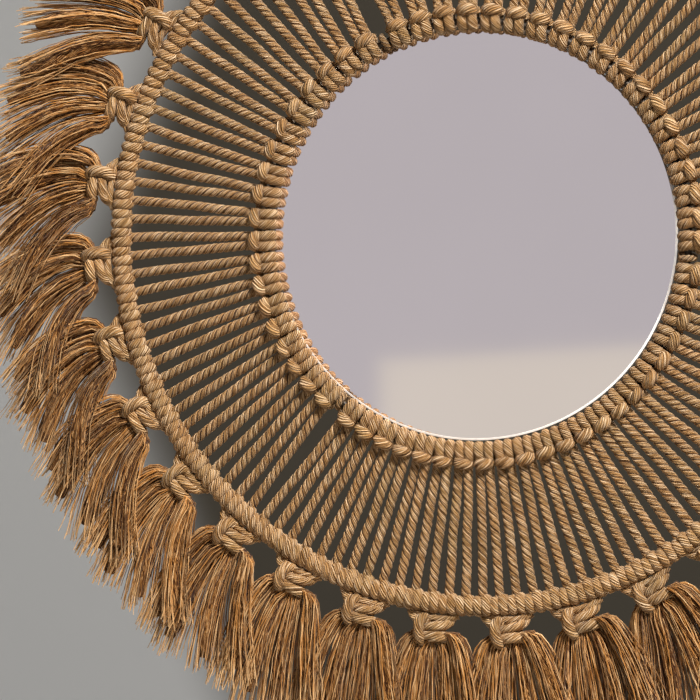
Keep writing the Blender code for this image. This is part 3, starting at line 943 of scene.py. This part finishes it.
def tie_strands(sizes):
    """Three short cords: a turn round the inner hoop and a tail into the board's notch."""
    strands = []
    for number, head in enumerate(TIE_AFTER_HEAD):
        angle = tie_angle(head)
        middle = on_frame(angle, INNER_HOOP_RADIUS)
        notch = math.atan2(middle.x, -middle.z)
        path = [
            on_board(notch, BOARD_RADIUS - TIE_REACH, BOARD_THICKNESS / 2),
            on_board(notch, BOARD_RADIUS - TIE_REACH / 2, BOARD_THICKNESS / 2),
            on_board(notch, TIE_PAST_GLASS, BOARD_THICKNESS / 2 + 0.0010),
            on_board(notch, TIE_PAST_GLASS, GLASS_BACK + GLASS_THICKNESS),
        ]
        core = WIRE_RADIUS + sizes.tie * 0.9
        for step in range(1, 14):
            turn = 2 * math.pi * step / 10
            lean = 0.0016 * (step / 7 - 1)
            path.append(head_point(angle, lean, -math.sin(turn) * core,
                                   -math.cos(turn) * core))
        strands.append((path, [sizes.tie] * len(path), 0.2 + 0.3 * number))
    return strands


# Operators


class MIRROR_OT_glass(bpy.types.Operator):
    """Silvered glass with a polished bevel, in place of its plain disc"""

    bl_idname = "knotted_mirror.glass"
    bl_label = "Mirror Glass"
    bevel: length_property("Bevel", "Width of the polished bevel", 0.0010)
    drop: length_property("Bevel depth", "How far the bevel falls back", 0.0005)
    segments: count_property("Segments", "Corners round the glass", 192, 24)

    def execute(self, context):
        colours = context.scene.mirror_colours
        front = -(GLASS_BACK + GLASS_THICKNESS)
        rows = [
            (GLASS_RADIUS - self.bevel, front),
            (GLASS_RADIUS - 0.0001, front + self.drop),
            (GLASS_RADIUS, front + self.drop + 0.0002),
            (GLASS_RADIUS, -GLASS_BACK),
        ]
        bm = bmesh.new()
        silver, edge, paint = 0, 1, 2
        rings = add_bands(bm, [
            [(radius * math.cos(angle), depth, radius * math.sin(angle))
             for angle in even_turns(self.segments)] for radius, depth in rows],
            (edge, paint, paint))
        bm.faces.new(rings[0]).material_index = silver
        bm.faces.new(list(reversed(rings[-1]))).material_index = paint
        finish_shell(bm, "looking_glass", "mirror_glass", (
            # Float glass, silvered behind: a sharp cool reflection with hardly any grain
            grained_material("Silvered glass", colours.glass, roughness=0.04, metallic=1.0,
                             grain=0.09, relief=0.0, fade=0.97),
            # The painted glint lies on the bevel's lower side, a little to the right
            edge_material(colours.edge, glow=0.5, heading=(0.3, 0, -0.95), fade=0.026),
            # Rolled on: flat grey with dabs of 2 mm
            grained_material("Mirror backing paint", colours.paint, roughness=0.6,
                             metallic=0.0, grain=0.002, relief=0.00005)))
        return {"FINISHED"}


class MIRROR_OT_board(bpy.types.Operator):
    """Finish for the fibreboard disc and its steel hanger"""

    bl_idname = "knotted_mirror.board"
    bl_label = "Board and Hanger"

    def execute(self, context):
        colours = context.scene.mirror_colours
        finishes = {
            # Pressed and sawn: dull brown with fibres of about 1 mm
            "backing_board": grained_material(
                "Medium density fibreboard", colours.board, roughness=0.85, metallic=0.0,
                grain=0.0012, relief=0.00012),
            # Rolled and dipped: a soft grey sheen, streaked along the strip
            "sawtooth_hanger": grained_material(
                "Zinc plated steel", colours.zinc, roughness=0.38, metallic=1.0,
                grain=0.0009, relief=0.00003, stretch=(0.2, 1, 1)),
        }
        for name, material in finishes.items():
            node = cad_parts[name]
            node.data.materials.clear()
            node.data.materials.append(material)
        return {"FINISHED"}


class MIRROR_OT_hoops(bpy.types.Operator):
    """Two hoops of steel wire, dark as a painted shade, seen only in the gaps between cords"""

    bl_idname = "knotted_mirror.hoops"
    bl_label = "Wire Hoops"
    segments: count_property("Segments", "Corners round a hoop", 144, 24)
    corners: count_property("Corners", "Corners round the wire", 8, 4)

    def execute(self, context):
        # Drawn steel in a dim brown grey, a painted shade for the gaps between cords, with no
        # bright glints
        wire = grained_material(
            "Darkened steel wire", context.scene.mirror_colours.wire, roughness=0.55,
            metallic=1.0, grain=0.0006, relief=0.00002)
        for name, radius in (("inner_hoop", INNER_HOOP_RADIUS),
                             ("outer_hoop", OUTER_HOOP_RADIUS)):
            bm = bmesh.new()
            add_bands(bm, [
                [on_frame(angle, radius + WIRE_RADIUS * math.cos(turn),
                          WIRE_RADIUS * math.sin(turn)) for turn in even_turns(self.corners)]
                for angle in even_turns(self.segments)], [0] * self.segments, closed=True)
            finish_shell(bm, name + "_wire", name, (wire,))
        return {"FINISHED"}


class MIRROR_OT_heads(bpy.types.Operator):
    """Sixty folded heads on the inner hoop: two loops each and a puffed fold"""

    bl_idname = "knotted_mirror.heads"
    bl_label = "Folded Heads"

    def execute(self, context):
        lay_cord(context, "head_loops", loop_strands, groove=0.11)
        lay_cord(context, "head_folds", fold_strands, groove=0.16, lay=0.0125, corners=18)
        return {"FINISHED"}


class MIRROR_OT_spokes(bpy.types.Operator):
    """A hundred and twenty stretched spokes of laid cord"""

    bl_idname = "knotted_mirror.spokes"
    bl_label = "Spokes"

    def execute(self, context):
        lay_cord(context, "spokes", spoke_strands)
        return {"FINISHED"}


class MIRROR_OT_hitches(bpy.types.Operator):
    """Cord hitched side by side round the outer hoop"""

    bl_idname = "knotted_mirror.hitches"
    bl_label = "Rim Hitches"

    def execute(self, context):
        lay_cord(context, "rim_hitches", hitch_strands, groove=0.12)
        return {"FINISHED"}


class MIRROR_OT_knots(bpy.types.Operator):
    """Thirty square knots below the outer hoop"""

    bl_idname = "knotted_mirror.knots"
    bl_label = "Square Knots"

    def execute(self, context):
        lay_cord(context, "square_knots", knot_strands, groove=0.15, lay=0.018, step=0.0014)
        return {"FINISHED"}


class MIRROR_OT_fringe(bpy.types.Operator):
    """Thirty tassels of frayed, crimped yarns"""

    bl_idname = "knotted_mirror.fringe"
    bl_label = "Tassel Fringe"

    def execute(self, context):
        sizes = context.scene.mirror_fringe
        colours = context.scene.mirror_colours
        material = fringe_material(colours)
        locks = grow_cord("fringe_locks", lock_strands(sizes), bundle_material(colours),
                          context.scene.mirror_cords, plies=8, groove=0.25, lay=0.12,
                          corners=16, step=0.0050)
        finish_piece(locks, CORD_NODES)
        given = {"Corners": 3, "Crimp": sizes.crimp * 2, "Wave": 0.006, "Step": 0.0038,
                 "Seed": sizes.seed}
        thirds = (("fringe_left", 0, 10), ("fringe_low", 10, 20), ("fringe_right", 20, 30))
        for name, first, last in thirds:
            strands = yarn_strands(sizes, first, last)
            fringe = grow(name, strands, loose_yarn_tree(), given, material)
            finish_piece(fringe, CORD_NODES[first:last])
        return {"FINISHED"}


class MIRROR_OT_ties(bpy.types.Operator):
    """Three tie cords that bind the hoop to the board"""

    bl_idname = "knotted_mirror.ties"
    bl_label = "Tie Cords"

    def execute(self, context):
        nodes = ["tie_cord_%d" % (number + 1) for number in range(len(TIE_AFTER_HEAD))]
        lay_cord(context, "tie_loops", tie_strands, nodes, lay=0.006)
        return {"FINISHED"}


class MIRROR_OT_stage(bpy.types.Operator):
    """Pale floor, far backdrops, soft lights and the camera"""

    bl_idname = "knotted_mirror.stage"
    bl_label = "Stage"
    azimuth: angle_property("Azimuth", "Camera's turn to the right of the front", 14)
    elevation: angle_property("Elevation", "Camera's rise above the mirror", 2)
    distance: length_property("Distance", "From the camera to the frame", 1.5)

    def add_sheet(self, context, name, corners, material):
        """A large plain sheet of the stage."""
        mesh = bpy.data.meshes.new(name)
        mesh.from_pydata(corners, [], [(0, 1, 2, 3)])
        mesh.materials.append(material)
        sheet = bpy.data.objects.new(name, mesh)
        context.scene.collection.objects.link(sheet)

    def aim(self, thing, place, heading):
        """Put a lamp or the camera at a place, and point it along a heading."""
        thing.location = place
        thing.rotation_euler = heading.to_track_quat("-Z", "Y").to_euler()
        bpy.context.scene.collection.objects.link(thing)

    def add_light(self, name, place, target, width, power, colour):
        """A soft square light that points at a place."""
        light = bpy.data.lights.new(name, "AREA")
        light.shape = "RECTANGLE"
        light.size = light.size_y = width
        light.energy = power
        light.color = colour
        lamp = bpy.data.objects.new(name, light)
        self.aim(lamp, place, Vector(target) - Vector(place))
        return lamp

    def throw_back(self, place, width, power, colour, lit_names, blocking_names):
        """A lamp's image behind the glass, for the light that the glass throws on some backs."""
        front = -(GLASS_BACK + GLASS_THICKNESS)
        behind = (place[0], 2 * front - place[1], place[2])
        twin = self.add_light("light_off_the_glass", behind, (0, front, 0), width, power,
                              colour)
        lit = bpy.data.collections.new("Lit by the glass")
        blocking = bpy.data.collections.new("Shading the glass")
        for group, names in ((lit, lit_names), (blocking, blocking_names)):
            for name in names:
                group.objects.link(bpy.data.objects[name])
        twin.light_linking.receiver_collection = lit
        twin.light_linking.blocker_collection = blocking

    def add_sheets(self, context, colours):
        """Floor and backdrop, and the panel that the glass shows the camera."""
        low, wide, behind, near, far, high = -0.80, 10.0, 4.0, -3.9, -8.6, 4.5
        # Trowelled and painted: a plain matt floor
        floor = new_material("Painted studio floor", 0.9, Base_Color=rgba(colours.floor))[0]
        self.add_sheet(context, "studio_floor", [
            (-wide, -wide, low), (wide, -wide, low), (wide, wide, low), (-wide, wide, low)],
            floor)
        # The backdrop is dark behind the mirror as a painted shadow of the frame
        paper = paper_material(colours.backdrop, colours.backdrop_light, edge=1.53, blur=0.10)
        self.add_sheet(context, "backdrop", [
            (-wide, behind, low), (wide, behind, low), (wide, behind, wide),
            (-wide, behind, wide)], paper)
        panel = panel_material(colours.room, colours.room_low, level=-0.142, slope=0.0209,
                               side=-4.921)
        self.add_sheet(context, "side_panel", [
            (-1.26, near, low), (-1.08, far, low), (-1.08, far, high), (-1.26, near, high)],
            panel)

    def execute(self, context):
        colours = context.scene.mirror_colours
        # Colours come out as the materials give them
        context.scene.view_settings.view_transform = "Standard"
        self.add_sheets(context, colours)
        middle = (0, 0, -0.03)
        self.add_light("key", (1.2, -1.5, 1.9), middle, 0.5, 148, (1, 0.97, 0.93))
        self.throw_back((0.8, -2.3, 1.1), 0.5, 130, (1, 0.95, 0.85), ("head_loops",),
                        ("head_loops", "head_folds", "spokes"))
        self.add_light("fill", (-1.6, -1.9, 0.3), middle, 1.4, 3, (1, 0.94, 0.88))
        self.add_light("rear", (0.6, 1.9, 1.4), middle, 1.4, 32, (1, 1, 1))
        world = bpy.data.worlds.new("Studio")
        world.use_nodes = True
        ground = world.node_tree.nodes["Background"]
        feed(world.node_tree, ground, {"Color": rgba(colours.room), "Strength": 0.15})
        context.scene.world = world
        # The camera looks left of the ring's centre and below it
        aside, below = 0.0545, 0.0484
        target = Vector((FRAME_SHIFT_X - aside, -HOOP_STANDOFF, -FRAME_DROP - below))
        flat = math.cos(self.elevation)
        heading = Vector((flat * math.sin(self.azimuth), -flat * math.cos(self.azimuth),
                          math.sin(self.elevation)))
        lens = bpy.data.cameras.new("Camera")
        lens.lens, lens.sensor_width = 180.0, 36.0
        camera = bpy.data.objects.new("Camera", lens)
        self.aim(camera, target + heading * self.distance, -heading)
        context.scene.camera = camera
        return {"FINISHED"}


class MIRROR_PT_sidebar(bpy.types.Panel):
    """Steps that build the mirror's looks"""

    bl_label = "Knotted Wall Mirror"
    bl_idname = "MIRROR_PT_sidebar"
    bl_space_type = "VIEW_3D"
    bl_region_type = "UI"
    bl_category = "Mirror"

    def draw(self, context):
        for operator in OPERATORS:
            self.layout.operator(operator.bl_idname)
        for settings in ("mirror_cords", "mirror_fringe", "mirror_colours"):
            box = self.layout.box()
            group = getattr(context.scene, settings)
            for name in type(group).__annotations__:
                box.prop(group, name)


GROUPS = (CordSizes, FringeSizes, FinishColours)
OPERATORS = (
    MIRROR_OT_glass, MIRROR_OT_board, MIRROR_OT_hoops, MIRROR_OT_heads, MIRROR_OT_spokes,
    MIRROR_OT_hitches, MIRROR_OT_knots, MIRROR_OT_fringe, MIRROR_OT_ties, MIRROR_OT_stage,
)
CLASSES = GROUPS + OPERATORS + (MIRROR_PT_sidebar,)


def register():
    """Register the classes and hang the settings on the scene."""
    for each in CLASSES:
        bpy.utils.register_class(each)
    bpy.types.Scene.mirror_cords = bpy.props.PointerProperty(type=CordSizes)
    bpy.types.Scene.mirror_fringe = bpy.props.PointerProperty(type=FringeSizes)
    bpy.types.Scene.mirror_colours = bpy.props.PointerProperty(type=FinishColours)


def unregister():
    """Take the settings and classes away again."""
    del bpy.types.Scene.mirror_colours
    del bpy.types.Scene.mirror_fringe
    del bpy.types.Scene.mirror_cords
    for each in reversed(CLASSES):
        bpy.utils.unregister_class(each)


def main():
    """Build every piece."""
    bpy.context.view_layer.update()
    register()
    bpy.ops.knotted_mirror.glass()
    bpy.ops.knotted_mirror.board()
    bpy.ops.knotted_mirror.hoops()
    bpy.ops.knotted_mirror.heads()
    bpy.ops.knotted_mirror.spokes()
    bpy.ops.knotted_mirror.hitches()
    bpy.ops.knotted_mirror.knots()
    bpy.ops.knotted_mirror.fringe()
    bpy.ops.knotted_mirror.ties()
    bpy.ops.knotted_mirror.stage()


if __name__ == "__main__":
    main()
